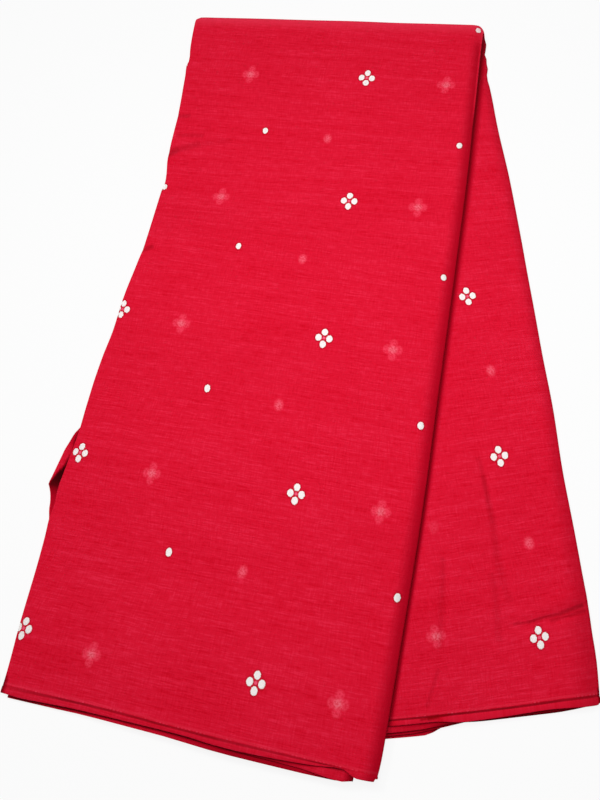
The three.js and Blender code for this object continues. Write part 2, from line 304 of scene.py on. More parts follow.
# Rows of the sheet beside each hem: distance from the cloth's end, and the sheet's thickness there.
HEM_ROWS = named_rows(
    "inward thickness",
    (0, 0.5), (0.3, 0.85), (1, 1), (2.4, 1), (3.8, 0.95),
    (4.4, 0.7), (4.8, 0.35), (5.3, 0.5), (6.5, 0.5), (9, 0.5),
)

# Swells that the whole stack follows, and creases on either leg.
SWELLS = named_rows(
    "x y angle length width height",
    (-60, 40, 80, 420, 90, 0.7),
    (20, -180, 96, 260, 60, 0.5),
    (-120, 230, 12, 200, 60, 0.5),
)
BACK_CREASES = named_rows(
    "x y angle length width height",
    (160, -210.5, 20, 30, 7, -0.7),
    (187, -197.5, 28, 44, 7, -0.9),
    (187, -188, 28, 44, 11, 0.7),
    (127.5, -127, 108, 80, 10, -0.6),
    (138, -127, 108, 90, 16, 0.5),
    (144, -184, 114, 60, 12, -0.6),
    (103.5, -200, 98, 90, 9, -0.4),
    (96, -200, 98, 80, 12, 0.35),
)
FRONT_CREASES = named_rows(
    "x y angle length width height",
    (-184, 157, 30, 50, 11, -1.2),
    (-180, 147, 24, 60, 16, 0.9),
    (-181, 50.5, 26, 36, 9, -0.9),
    (-178, 42, 20, 50, 14, 0.6),
    (-190, 195, 10, 36, 9, -0.6),
)

STACK_WAVES = dict(seed=3, count=9, longest=160, height=0.28)  # low waves of the whole stack
LAYER_WAVES = dict(seed=8, count=7, longest=110, height=0.1)  # and of each layer
LAYER_SHIFT = 40.0  # how far the waves of two layers lie apart for each mm between them

# Sharp creases, as short straight stretches from one end to the other, how deep they are for the bump, and
# how dark the painted shade in them is.
CREASE_LINES = named_rows(
    "x1 y1 x2 y2 width depth shade",
    (154.1, -211.3, 163.2, -208.4, 1.5, 0.25, 0.3),
    (163.2, -208.4, 173.8, -202.8, 1.9, 0.35, 0.44),
    (173.8, -202.8, 183.2, -199.1, 2.1, 0.35, 0.46),
    (183.2, -199.1, 198.5, -190, 2.5, 0.4, 0.5),
    (178, -204.5, 200.5, -193.5, 2.2, 0.25, 0.3),
    (118.1, -97, 122.7, -109.5, 3.2, 0.2, 0.2),
    (122.7, -109.5, 128.7, -129.9, 3.2, 0.28, 0.36),
    (128.7, -129.9, 133.3, -143.9, 3.8, 0.25, 0.3),
    (133.3, -143.9, 138.9, -169.4, 4.6, 0.2, 0.2),
    (138.9, -169.4, 145.1, -186.1, 5.4, 0.15, 0.15),
    (145.1, -186.1, 150, -197, 5, 0.1, 0.12),
    (100.9, -175, 103.8, -202.7, 3.2, 0.18, 0.2),
    (103.8, -202.7, 106, -236, 4, 0.15, 0.15),
    (107, -250.5, 102.3, -275, 2.4, 0.2, 0.18),
    (137, -180, 145.2, -224.4, 4.4, 0.15, 0.14),
    (99, -283.4, 103.4, -281.8, 1.3, 0, 0.75),
    (103.4, -281.8, 110.4, -279, 2.2, 0, 1),
    (110.4, -279, 117, -276.5, 1.4, 0, 0.85),
    (-195.5, 148.4, -185.4, 156.6, 7.5, 0.4, 0.5),
    (-185.4, 156.6, -166, 164.5, 7, 0.2, 0.28),
    (-166, 164.5, -138, 171, 6, 0, 0.12),
    (-191, 172, -165, 174.5, 4, 0, 0.2),
    (-193.5, 44, -182, 50.6, 4, 0.35, 0.42),
    (-198, 194, -184, 196.5, 4.5, 0.25, 0.3),
)

# A woven dot two layers down, which shows faintly through the top one by the front leg.
DEEP_DOT = dict(x=91.6, y=-154.4, half_width=3.6, half_height=5.2)


def column(table, name):
    return np.array([row[name] for row in table], float)


def smooth_step(share):
    s = np.clip(share, 0.0, 1.0)
    return s * s * (3.0 - 2.0 * s)


def smooth_curve(knots, values, at):
    """A smooth curve through the knots that doesn't overshoot between them."""
    steps = np.diff(knots)
    slopes = np.diff(values) / steps
    before, after = slopes[:-1], slopes[1:]
    middle = 2.0 * after * before / np.where(after + before == 0, 1, after + before)
    tangents = np.concatenate([slopes[:1], np.where(after * before > 0, middle, 0.0), slopes[-1:]])
    i = np.clip(np.searchsorted(knots, at) - 1, 0, len(steps) - 1)
    s = np.clip((at - knots[i]) / steps[i], 0.0, 1.0)
    rise = values[i + 1] - values[i]
    leaving = tangents[i] * steps[i] - rise
    arriving = rise - tangents[i + 1] * steps[i]
    bend = s * (1 - s) * ((1 - s) * leaving + s * arriving)
    return values[i] + rise * s + bend


def along_table(table, name, at):
    """A table's smooth curve, by its first column."""
    key = column(table, next(iter(table[0])))
    order = np.argsort(key)
    return smooth_curve(key[order], column(table, name)[order], at)


# ---- Columns of the sheet, along the folded section ----

# Where they lie: in mm from the right edge, or as shares of a layer. Near a fold they are closer together.
ROLL_POINTS = np.array([13.0, 11.4, 9.8, 8.2, 6.8, 5.4, 4.2, 3.0, 2.0])
FREE_POINTS = np.array([0, 3, 6, 9, 12, 15, 18, 21, 25, 29, 34, 40, 48, 58]) / 1000
NEAR_FOLD = np.linspace(0.934, 1.0, 8)
TOP_SHARES = np.concatenate([np.linspace(0.012, 0.918, 45), NEAR_FOLD])
UNDER_SHARES = np.concatenate([FREE_POINTS, np.linspace(0.09, 0.4, 8), np.linspace(0.43, 1.0, 43)])
INNER_SHARES = np.concatenate([np.linspace(0.03, 0.87, 13), np.linspace(0.91, 1.0, 5)])
LAST_SHARES = np.concatenate([FREE_POINTS, np.linspace(0.09, 0.87, 13), np.linspace(0.91, 1.0, 5)])
OUTER_FOLD_ANGLES = np.radians(np.linspace(-90, 90, 9))
TIGHT_FOLD_ANGLES = np.radians(np.linspace(-90, 90, 7))


def section(width, flap, curl, turned):
    """The folded section's middle line: distances from the left edge, levels and places along the cloth."""
    closing = OUTER_LEVEL - 0.5 * PITCH - ROLL_TIP
    tight = PITCH / 2
    free_edge = FREE_INSET - flap
    flat_end = width - ROLL_WIDTH
    tip = width - ROLL_TIP / 2
    inner = width - INNER_INSET - tight

    def rolled(across):
        return closing * np.clip((across - flat_end) / (tip - flat_end), 0, 1) ** ROLL_POWER

    def bend(middle, level, radius, angles, place):
        across = middle + radius * np.cos(angles)
        return across, level + radius * np.sin(angles), np.full(angles.size, place)

    roll = width - ROLL_POINTS
    lower = np.concatenate([free_edge + (flat_end - free_edge) * UNDER_SHARES[:-1], roll])
    upper = np.concatenate([roll[::-1], tight + (flat_end - tight) * TOP_SHARES[-2::-1]])
    second = tight + (inner - tight) * INNER_SHARES[:-1]
    last = free_edge + (inner - free_edge) * LAST_SHARES[-2::-1]
    fading = CURL_FADE["share"] * flap + CURL_FADE["least"]
    curled = curl * (1 - smooth_step((last - free_edge - CURL_FULL) / fading))
    sunk = min(curl, SINK["most"]) * np.exp(-(((last - SINK["at"]) / SINK["width"]) ** 2))
    lower_tip = 0.5 * PITCH + closing * turned
    upper_tip = OUTER_LEVEL - closing * (1 - turned)
    pieces = [
        (lower, 0.5 * PITCH + rolled(lower) * turned, lower / width),
        bend(tip, (lower_tip + upper_tip) / 2, ROLL_TIP / 2, OUTER_FOLD_ANGLES, 1.0),
        (upper, OUTER_LEVEL - rolled(upper) * (1 - turned), 2 - upper / width),
        bend(tight, 3 * PITCH, -tight, TIGHT_FOLD_ANGLES, 2.0),
        (second, np.full(second.size, 2.5 * PITCH), 2 + second / width),
        bend(inner, 2 * PITCH, tight, -TIGHT_FOLD_ANGLES, 3.0),
        (last, 1.5 * PITCH + curled - sunk, 4 - last / width),
    ]
    return [np.concatenate(parts) for parts in zip(*pieces)]


# ---- Rows of the sheet: front leg, cross fold, back leg ----

FRONT_STEP = 6.2
BACK_STEP = 7.4
FINE_STEP = 3.0
FINE_FRONT = (-118.0, -204.0)  # where the front leg's free edge curls out
FINE_BACK = (78.0, 30.0)  # so far from the back leg's end, where its sharp creases are
CROSS_FOLD_ROWS = 11


def distances(length, step, fine_from, fine_to):
    """Distances along a leg from its cross fold, closer together between two places."""
    places = [0.0]
    while places[-1] < length - step:
        fine = fine_from <= places[-1] <= fine_to
        places.append(places[-1] + (FINE_STEP if fine else step))
    return np.array(places)


def hem_and_thickness(others):
    """From a leg's hem inward: 1 at the cloth's end to 0 past the hem, and the sheet's thickness."""
    hem = 1 - np.minimum(column(HEM_ROWS, "inward") / HEM_WIDTH, 1)
    thick = column(HEM_ROWS, "thickness")
    return np.concatenate([hem, np.zeros(others)]), np.concatenate([thick, np.full(others, SHEET)])


def front_rows():
    ys = column(FRONT, "y")
    inward = column(HEM_ROWS, "inward")
    length = ys[-1] - ys[0] - inward[-1] + HEM_WIDTH
    fine = [ys[-1] - y for y in FINE_FRONT]
    body = ys[-1] - distances(length, FRONT_STEP, *fine)
    y = np.concatenate([FRONT_HEM_Y + np.maximum(inward - HEM_WIDTH, 0.0), body[::-1]])
    names = ("rise", "left", "right", "flap", "curl")
    rise, left, right, flap, curl = (along_table(FRONT, name, y) for name in names)
    lefts = np.stack([left, y], 1)
    rights = np.stack([right, y + rise], 1)
    hem, thick = hem_and_thickness(body.size)
    turn = np.zeros(y.size)
    return dict(left=lefts, right=rights, flap=flap, curl=curl, turn=turn, hem=hem, thick=thick)


def back_rows():
    x, y, tilt, width = (column(BACK, name) for name in ("x", "y", "tilt", "width"))
    knots = np.concatenate([[0], np.cumsum(np.hypot(np.diff(x), np.diff(y)))])
    inward = column(HEM_ROWS, "inward")
    length = knots[-1]
    fine = [length - end for end in FINE_BACK]
    body = distances(length - inward[-1] + HEM_WIDTH, BACK_STEP, *fine)
    along = np.concatenate([body, (length - np.maximum(inward - HEM_WIDTH, 0.0))[::-1]])
    rights = np.stack([smooth_curve(knots, x, along), smooth_curve(knots, y, along)], 1)
    angle = np.radians(smooth_curve(knots, tilt, along))
    leftward = np.stack([np.cos(angle), np.sin(angle)], 1)
    lefts = rights - smooth_curve(knots, width, along)[:, None] * leftward
    hem, thick = (values[::-1] for values in hem_and_thickness(body.size))
    turn = np.full(along.size, math.pi)
    none = np.zeros(along.size)
    rows = dict(left=lefts, right=rights, flap=none, curl=none, turn=turn, hem=hem, thick=thick)
    return rows | dict(along=along)


def fold_rows(front, back):
    share = np.arange(1, CROSS_FOLD_ROWS + 1) / (CROSS_FOLD_ROWS + 1)
    left, right = (
        front[side][-1] + (back[side][0] - front[side][-1]) * share[:, None] for side in ("left", "right")
    )
    zero = np.zeros(share.size)
    thick = np.full(share.size, SHEET)
    return dict(left=left, right=right, flap=zero, curl=zero, turn=math.pi * share, hem=zero, thick=thick)


def relief(table, x, y):
    total = np.zeros_like(x)
    for row in table:
        angle = math.radians(row["angle"])
        along = (x - row["x"]) * math.cos(angle) + (y - row["y"]) * math.sin(angle)
        beside = (y - row["y"]) * math.cos(angle) - (x - row["x"]) * math.sin(angle)
        fade = (2 * along / row["length"]) ** 2 + (2 * beside / row["width"]) ** 2
        total += row["height"] * np.exp(-fade)
    return total


def undulation(x, y, seed, count, longest, height):
    """Low random waves, the same on every run."""
    rng = np.random.default_rng(seed)
    total = np.zeros_like(x)
    for _ in range(count):
        angle = rng.uniform(0, math.pi)
        wave = 2 * math.pi / rng.uniform(0.4 * longest, longest)
        phase = rng.uniform(0, 2 * math.pi)
        total += np.sin(wave * (x * math.cos(angle) + y * math.sin(angle)) + phase)
    return height * total / math.sqrt(count)


def sheet_points():
    front = front_rows()
    back = back_rows()
    fold = fold_rows(front, back)
    rows = {
        name: np.concatenate([front[name], fold[name], back[name]])
        for name in ("left", "right", "flap", "curl", "turn", "hem", "thick")
    }
    width = np.linalg.norm(rows["right"] - rows["left"], axis=1)
    lines = [section(*row) for row in zip(width, rows["flap"], rows["curl"], rows["turn"] / math.pi)]
    across, level, place = (np.array(values) for values in zip(*lines))

    base = (rows["right"] - rows["left"]) / width[:, None]
    outward = np.stack([-base[:, 1], base[:, 0]], 1)
    lift = level * np.sin(rows["turn"])[:, None]
    x = rows["left"][:, :1] + base[:, :1] * across + outward[:, :1] * lift
    y = rows["left"][:, 1:] + base[:, 1:] * across + outward[:, 1:] * lift

    on_front = np.arange(len(width)) < len(front["turn"])
    on_back = np.arange(len(width)) >= len(width) - len(back["turn"])

    near_end = np.clip(1 - (width[:, None] - across) / FOLD_CORNER, 0, 1)
    near_start = np.clip(1 - across / FOLD_CORNER, 0, 1)
    near_fold = smooth_step(1 - (column(FRONT, "y")[-1] - y) / CORNER_FADE)
    y = y - (FOLD_CORNER * near_end**2 + LEFT_CORNER * near_start**2) * near_fold

    run = back["right"][-1] - back["right"][0]
    run = run / np.linalg.norm(run)
    bow = HEM_BOW * np.sin(math.pi * np.clip(across / width[:, None], 0, 1))
    back_share = np.zeros(len(width))
    back_share[on_back] = smooth_step(2 * back["along"] / back["along"][-1] - 1)
    reach_front = along_table(HEM_REACH, "front", place)
    reach_back = along_table(HEM_REACH, "back", place)
    hem = rows["hem"][:, None]
    shift = np.where(on_back[:, None], reach_back * hem + bow * back_share[:, None], 0.0)
    x = x + run[0] * shift
    y = y + run[1] * shift - np.where(on_front[:, None], reach_front * hem, 0.0)

    edge_top = back["left"][0]
    edge_run = back["left"][-1] - edge_top
    edge_run = edge_run / np.linalg.norm(edge_run)
    beyond = edge_run[1] * (x - edge_top[0]) - edge_run[0] * (y - edge_top[1])
    drop = FULL_DROP * smooth_step((beyond - RAMP_START) / RAMP_WIDTH)
    z = FOLD_HEIGHT + level * np.cos(rows["turn"])[:, None] - np.where(on_front[:, None], drop, 0.0)

    weight = np.clip(z / FULL_WEIGHT, 0.0, 1.0)
    soft = relief(SWELLS, x, y) + undulation(x, y, **STACK_WAVES)
    z = z + weight * soft
    z = z + np.where(on_back[:, None], weight * relief(BACK_CREASES, x, y), 0.0)
    z = z + np.where(on_front[:, None], weight * relief(FRONT_CREASES, x, y), 0.0)
    z = z + undulation(x + LAYER_SHIFT * level, y, **LAYER_WAVES)
    z = np.maximum(z, LOWEST)
    return dict(
        x=x, y=y, z=z, across=across, width=width, place=place, rows=rows,
        on_front=on_front, on_back=on_back, along=back["along"],
    )


# ---- Where each point lies on the flat cloth ----


def developed(points):
    """Distance along the section from its outer fold, negative towards the cloth's first edge."""
    across, width, place = points["across"], points["width"][:, None], points["place"]
    from_right = width - across
    half_turn = math.pi * ROLL_TIP / 4 - ROLL_TIP / 2
    inner = width - INNER_INSET
    out = np.where(place < 1, -from_right - half_turn, from_right + half_turn)
    out = np.where(place >= 2, width + across, out)
    out = np.where(place >= 3, width + inner + (inner - across), out)
    at_roll = np.isclose(place, 1.0)
    out[at_roll] = np.tile(OUTER_FOLD_ANGLES, len(width)) * ROLL_TIP / 2
    return out


def slope(table, name, at):
    """How fast a table's curve climbs."""
    return along_table(table, name, at + 0.5) - along_table(table, name, at - 0.5)


FRONT_REACH = (-330, 330)  # between these the woven rows' spacing is taken from the tables
BACK_REACH = (10, 580)


def woven_places(points):
    """Distance from the cloth's own edge, the number of the woven row, and the size of the weave there: mm
    to a column and to a row, less where the flowers are larger."""
    place, rows = points["place"], points["rows"]
    on_front, on_back = points["on_front"], points["on_back"]
    turning = np.where(~(on_front | on_back))[0]
    ends = [turning[0] - 1, turning[-1] + 1]

    def bridge(values):
        """Fills in the cross fold's rows between the legs."""
        values[turning] = np.interp(turning, ends, values[ends])

    y = rows["right"][:, 1]
    spacing = along_table(FRONT_WEAVE, "spacing", y)
    middle = along_table(FRONT_WEAVE, "middle", y)
    stretch = np.where(on_front, COLUMN_SPACING / spacing, 1.0)
    fold = FIRST_FLOWER_COLUMN + COLUMN_SPACING + (middle - rows["right"][:, 0]) * stretch
    fold[on_back] = along_table(BACK_WEAVE, "fold", points["along"])
    bridge(fold)
    bridge(stretch)
    flat = fold[:, None] + developed(points) * stretch[:, None]

    x, front_y = points["x"][on_front], points["y"][on_front]
    tilt = along_table(FRONT_WEAVE, "tilt", front_y) / 100
    level_y = front_y - tilt * (x - along_table(FRONT_WEAVE, "middle", front_y))
    woven_row = np.zeros(place.shape)
    woven_row[on_front] = along_table(FRONT_WEAVE, "row", level_y)
    woven_row[on_back] = along_table(BACK_WEAVE, "row", points["along"])[:, None]
    for in_column in woven_row.T:
        bridge(in_column)

    sizes = np.zeros((len(place), 2))
    sizes[:, 0] = COLUMN_SPACING / stretch
    sizes[on_front, 1] = 1.0 / slope(FRONT_WEAVE, "row", np.clip(y[on_front], *FRONT_REACH))
    sizes[on_front] /= along_table(FRONT_WEAVE, "flower", y[on_front])[:, None]
    along = np.clip(points["along"], *BACK_REACH)
    sizes[on_back, 1] = 1.0 / slope(BACK_WEAVE, "row", along)
    sizes[on_back] /= along_table(BACK_WEAVE, "flower", along)[:, None]
    for size in sizes.T:
        bridge(size)
    return flat, woven_row, np.repeat(sizes[:, None, :], place.shape[1], axis=1)


def pattern_below(points, lattice):
    """The lattice of the layer below, which shows faintly through."""
    on_front, on_back = points["on_front"], points["on_back"]
    shift = np.zeros(lattice.shape)
    y = points["rows"]["right"][on_front, 1]
    shift[on_front, :, 0] = along_table(FRONT_WEAVE, "below", y)[:, None]
    behind = along_table(FRONT_WEAVE, "behind", y)[:, None]
    shift[on_front, :, 1] = behind + FRONT_SKEW * (lattice[on_front, :, 0] - 0.5)
    for axis, name in enumerate(("below", "behind")):
        shift[on_back, :, axis] = along_table(BACK_WEAVE, name, points["along"])[:, None]
    shift[~(on_front | on_back)] = 0.5
    return lattice + shift


# ---- Shade deep in the folds ----

FAR_FROM_HEM = 30.0
FAR_AWAY = 40.0  # no shade beside an edge reaches further

# Shade beside an edge: how dark it is, how wide, and how far it stays full.
ROLL_SHADE = dict(depth=0.40, width=12.0, full=0.0)  # on the front leg, along its right edge
GAP_SHADE = dict(depth=0.74, width=2.4, full=0.8)  # on a layer that reaches past the hem above it
# On the back leg, in the cleft beside the front leg's right edge.
CLEFT = named_rows(
    "y depth width full",
    (-330, 0.64, 4.8, 0.5),
    (-200, 0.64, 4.8, 0.5),
    (-115, 0.67, 5.5, 0.5),
    (-5, 0.63, 6.2, 0.6),
    (90, 0.64, 6.8, 0.7),
    (255, 0.75, 8.8, 0.8),
    (330, 0.75, 8.8, 0.8),
)
# On the back leg, along its right edge.
BACK_ROLL = named_rows(
    "y depth width full",
    (-250, 0.18, 26, 6),
    (-200, 0.16, 22, 4),
    (-150, 0.15, 15, 3),
    (0, 0.14, 9, 2),
    (330, 0.13, 8, 1.5),
)
EDGE_SHADE = 0.12  # how much darker still the very edge is
RIM_LIGHT = dict(y=240.0, over=30.0)  # further back the front leg's right rim catches the light
OPEN_CORNER = dict(y=300.0, over=20.0, share=0.9)  # and its corner lies more open
POCKET_SOFT = 0.7  # half the soft border of the pocket
POCKET_RIM = 1.5  # the same beside the free edge
FLAP_MIDDLE, FLAP_HALF = -163.0, 44.0  # where along the front leg the free edge sticks out


def shade_from(distance, depth, width, full):
    """Shade beside an edge: its depth as far as "full", fading to nothing at "width"."""
    return depth * smooth_step((width - distance) / (width - full)) * (distance > -FAR_AWAY)


def pocket_shade(points):
    """In the pocket beside the curled free edge, and on the rest of that edge."""
    rows, across = points["rows"], points["across"]
    y = rows["right"][:, 1:]
    width, depth, dull = (along_table(POCKET, name, y) for name in ("width", "depth", "dull"))
    from_end = across - (FREE_INSET - rows["flap"][:, None])
    inside = depth * smooth_step((width + POCKET_SOFT + across) / (2 * POCKET_SOFT))
    inside = inside * smooth_step(0.3 + from_end / POCKET_RIM) * (width > 0)
    dull = dull * smooth_step((POCKET_RIM - across) / 2) * (np.abs(y - FLAP_MIDDLE) < FLAP_HALF)
    return np.maximum(inside, dull)


def gap_shade(points, hem_distance):
    """Near the hems, on each layer that reaches past the one above it."""
    place, on_front = points["place"], points["on_front"][:, None]
    share = points["across"] / points["width"][:, None]
    layer = np.minimum(place.astype(int), 3)
    above_front = np.choose(layer, [4 - share, share, 2 - share, 2 + share])
    above_back = np.choose(layer, [share, 2 + share, 4 - share, share])
    above = np.clip(np.where(on_front, above_front, above_back), 0, 4)

    def on_legs(suffix, at):
        front, back = (along_table(HEM_REACH, leg + suffix, at) for leg in ("front", "back"))
        return np.where(on_front, front, back)

    beyond = on_legs("", place) - hem_distance - on_legs("", above)
    shade = np.maximum(shade_from(beyond, **GAP_SHADE), on_legs("_dull", place))
    return shade * (hem_distance < FAR_FROM_HEM)


def fold_shade(points, hem_distance):
    """How much darker the cloth is where little light reaches it: 0 in the open, 1 for black."""
    place, across = points["place"], points["across"]
    on_front, on_back = points["on_front"][:, None], points["on_back"][:, None]
    from_right = points["width"][:, None] - across
    y = points["rows"]["right"][:, 1:]
    at_roll = np.isclose(place, 1.0)

    free = (place >= 3) | (place < 1)
    shade = np.where(free & on_front & (across < 3), pocket_shade(points), 0.0)
    open_corner = 1 - OPEN_CORNER["share"] * smooth_step((y - OPEN_CORNER["y"]) / OPEN_CORNER["over"])
    roll = shade_from(from_right, **ROLL_SHADE) * open_corner
    shade = np.where(on_front & (place > 1) & (place < 2), roll, shade)
    rim = ROLL_SHADE["depth"] * smooth_step((RIM_LIGHT["y"] - y) / RIM_LIGHT["over"])
    shade = np.where(on_front & at_roll, rim, shade)
    roll = {name: along_table(BACK_ROLL, name, y) for name in ("depth", "width", "full")}
    shade = np.where(on_back & (place < 1), shade_from(from_right, **roll), shade)
    shade = np.where(on_back & at_roll, roll["depth"] + EDGE_SHADE, shade)

    top_layer = np.minimum(place.astype(int), 3) == np.where(on_front, 1, 0)
    return np.where(top_layer, shade, np.maximum(shade, gap_shade(points, hem_distance)))


def cleft_shade(points):
    """On the back leg beside the front leg: how far into the cleft a place is, 1 where it is darkest and
    less than nothing outside, and how dark it can be. The first is linear, so that it stays even between
    the mesh's points, and the material rounds it off."""
    beside_front = points["x"] - along_table(FRONT, "right", points["y"])
    depth, width, full = (along_table(CLEFT, name, points["y"]) for name in ("depth", "width", "full"))
    on_top = points["on_back"][:, None] & (points["place"] <= 1)
    inside = (width - np.clip(beside_front, -FAR_AWAY, FAR_AWAY)) / (width - full)
    return inside, np.where(on_top, depth, 0.0)


PAINTED_SHEEN_WIDTH = 11.0  # along the top of the cross fold a painted sheen makes the cloth paler


def painted_fold_sheen(points):
    """How strong the painted sheen is: 1 along the top of the cross fold, 0 away from it."""
    below_fold = points["rows"]["right"][:, 1].max() - points["rows"]["right"][:, 1]
    painted_sheen = 1 - smooth_step(below_fold / PAINTED_SHEEN_WIDTH)
    return np.repeat(painted_sheen[:, None], points["place"].shape[1], axis=1)


def on_groove(points, on_front, on_back):
    """A column of the groove's table for each leg."""
    share = points["across"] / points["width"][:, None]
    front, back = (along_table(GROOVE, name, share) for name in (on_front, on_back))
    return np.where(points["on_front"][:, None], front, back)


# ---- The closed sheet ----


def grid_normals(grid):
    down = np.gradient(grid, axis=0)
    beside = np.gradient(grid, axis=1)
    normals = np.cross(beside, down)
    return normals / np.maximum(np.linalg.norm(normals, axis=2, keepdims=True), 1e-9)


def closed_sheet(name, grid, thickness, maps, values):
    """One closed mesh: the grid moved half a thickness to each side, joined round its rim."""
    half = thickness[:, None, None] / 2 * grid_normals(grid)
    rows, columns = grid.shape[:2]
    count = rows * columns
    points = np.concatenate([(grid + half).reshape(-1, 3), (grid - half).reshape(-1, 3)])
    points[:, 2] = np.maximum(points[:, 2], 0.0)
    number = np.arange(count).reshape(rows, columns)
    a, b, c, d = number[:-1, :-1], number[:-1, 1:], number[1:, 1:], number[1:, :-1]
    faces_up = np.stack([a, b, c, d], 2).reshape(-1, 4)
    faces_down = np.stack([a, d, c, b], 2).reshape(-1, 4) + count
    rim = np.concatenate([number[0, :], number[1:, -1], number[-1, -2::-1], number[-2:0:-1, 0]])
    after = np.roll(rim, -1)
    faces_rim = np.stack([after, rim, rim + count, after + count], 1)
    faces = np.concatenate([faces_up, faces_down, faces_rim])

    mesh = bpy.data.meshes.new(name)
    mesh.vertices.add(2 * count)
    mesh.vertices.foreach_set("co", (points * MM).astype(np.float32).ravel())
    mesh.loops.add(faces.size)
    mesh.loops.foreach_set("vertex_index", faces.astype(np.int32).ravel())
    mesh.polygons.add(len(faces))
    mesh.polygons.foreach_set("loop_start", np.arange(0, faces.size, 4, dtype=np.int32))
    mesh.update(calc_edges=True)
    mesh.polygons.foreach_set("use_smooth", np.ones(len(faces), bool))

    corners = faces.ravel() % count
    for layer_name, places in maps.items():
        layer = mesh.uv_layers.new(name=layer_name)
        layer.data.foreach_set("uv", places.reshape(-1, 2)[corners].astype(np.float32).ravel())
    for value_name, numbers in values.items():
        attribute = mesh.attributes.new(value_name, "FLOAT", "POINT")
        attribute.data.foreach_set("value", np.tile(numbers.ravel(), 2).astype(np.float32))

    on_rim = np.zeros(2 * count, bool)
    on_rim[rim] = True
    on_rim[rim + count] = True
    ends = np.zeros(len(mesh.edges) * 2, np.int32)
    mesh.edges.foreach_get("vertices", ends)
    ends = ends.reshape(-1, 2)
    same_side = (ends[:, 0] < count) == (ends[:, 1] < count)
    sharp = mesh.attributes.new("sharp_edge", "BOOLEAN", "EDGE")
    sharp.data.foreach_set("value", on_rim[ends].all(1) & same_side)
    mesh.validate()
    piece = bpy.data.objects.new(name, mesh)
    bpy.context.scene.collection.objects.link(piece)
    return piece


# ---- Materials ----


class Nodes:
    """A short way to write a node tree."""

    def __init__(self, tree):
        self.tree = tree
        self.tree.nodes.clear()

    def add(self, kind, **settings):
        node = self.tree.nodes.new(kind)
        for key, value in settings.items():
            setattr(node, key, value)
        return node

    def put(self, socket, value):
        if isinstance(value, bpy.types.NodeSocket):
            self.tree.links.new(value, socket)
        else:
            socket.default_value = value

    def fill(self, node, *values):
        for socket, value in zip(node.inputs, values):
            self.put(socket, value)
        return node.outputs[0] if node.outputs else None

    def math(self, operation, *values):
        return self.fill(self.add("ShaderNodeMath", operation=operation), *values)

    def times(self, first, second):
        return self.math("MULTIPLY", first, second)

    def minus(self, first, second):
        return self.math("SUBTRACT", first, second)

    def apart(self, first, second):
        return self.math("ABSOLUTE", self.minus(first, second))

    def total(self, *values):
        result = values[0]
        for value in values[1:]:
            result = self.math("ADD", result, value)
        return result

    def ramp(self, value, start, end, low=0.0, high=1.0):
        node = self.add("ShaderNodeMapRange", interpolation_type="SMOOTHSTEP")
        return self.fill(node, value, start, end, low, high)

    def step(self, name, value):
        return self.ramp(value, **SOFT_STEPS[name])

    def mix(self, share, first, second):
        node = self.add("ShaderNodeMix", data_type="RGBA")
        for name, value in (("Factor", share), ("A", first), ("B", second)):
            self.put(node.inputs[name], value)
        return node.outputs["Result"]

    def noise(self, x, y, z, detail):
        node = self.add("ShaderNodeTexNoise")
        place = self.fill(self.add("ShaderNodeCombineXYZ"), x, y, z)
        settings = (("Vector", place), ("Scale", 1.0), ("Detail", detail), ("Roughness", NOISE_ROUGHNESS))
        for name, value in settings:
            self.put(node.inputs[name], value)
        return node.outputs[0]

    def attribute(self, name):
        return self.add("ShaderNodeAttribute", attribute_name=name).outputs["Fac"]

    def uv_map(self, name):
        """Both numbers of a UV map."""
        parts = self.add("ShaderNodeSeparateXYZ")
        self.fill(parts, self.add("ShaderNodeUVMap", uv_map=name).outputs[0])
        return parts.outputs[0], parts.outputs[1]


def new_material(name):
    material = bpy.data.materials.new(name)
    material.use_nodes = True
    return material, Nodes(material.node_tree)


CRIMSON = (0.74, 0.0068, 0.032, 1)
DARK_CRIMSON = (0.662, 0.0020, 0.0180, 1)
LIGHT_CRIMSON = (0.815, 0.0165, 0.055, 1)
MOTIF_WHITE = (1.0, 0.95, 0.93, 1)
MOTIF_THREAD = (0.94, 0.79, 0.79, 1)
# Colours of painted shade: round the motifs and in the hem's groove (this one also darkens the hem's band),
# in the sharp creases, deepest in the folds, and the purer red that the cloth turns in the shade.
SHADOW_RED = (0.20, 0.001, 0.004, 1)
CREASE_SHADE_RED = (0.26, 0.0, 0.002, 1)
PAINTED_SHADE_DARK = (0.035, 0.0002, 0.0008, 1)
SHADE_RED = (0.74, 0.0005, 0.020, 1)
# Pale pink of the layers below where they show through, also used for the stitches, for a painted highlight
# on the hem's ridge and for the painted sheen along the cross fold.
SHOW_THROUGH_AND_SHEEN = (1.0, 0.07, 0.14, 1)
SHOW_THROUGH_CENTRE = (1.0, 0.22, 0.30, 1)
CENTRE_PINK = (0.95, 0.10, 0.20, 1)

# Noise drawn out to threads and patches: how long they are along the weft and across it.
STREAKS = by_name(
    "along across shift detail",
    slubs=(11, 0.95, 0, 2),
    bands=(90, 2.4, 7, 2),
    warp=(1.1, 9, 13, 2),
    bars=(150, 6, 21, 1),
    clouds=(60, 28, 27, 1),
    patches=(1.5, 1.5, 31, 1),
    frays=(1, 1, 41, 1),
    motif_threads=(1.4, 0.6, 51, 1),
    stitch_pull=(7, 40, 61, 1),
    groove_breaks=(24, 60, 71, 1),
)
NOISE_ROUGHNESS = 0.6
TONE = dict(slubs=0.38, bands=0.19, warp=0.23, bars=0.1, clouds=0.1)  # their weights in the cloth's colour

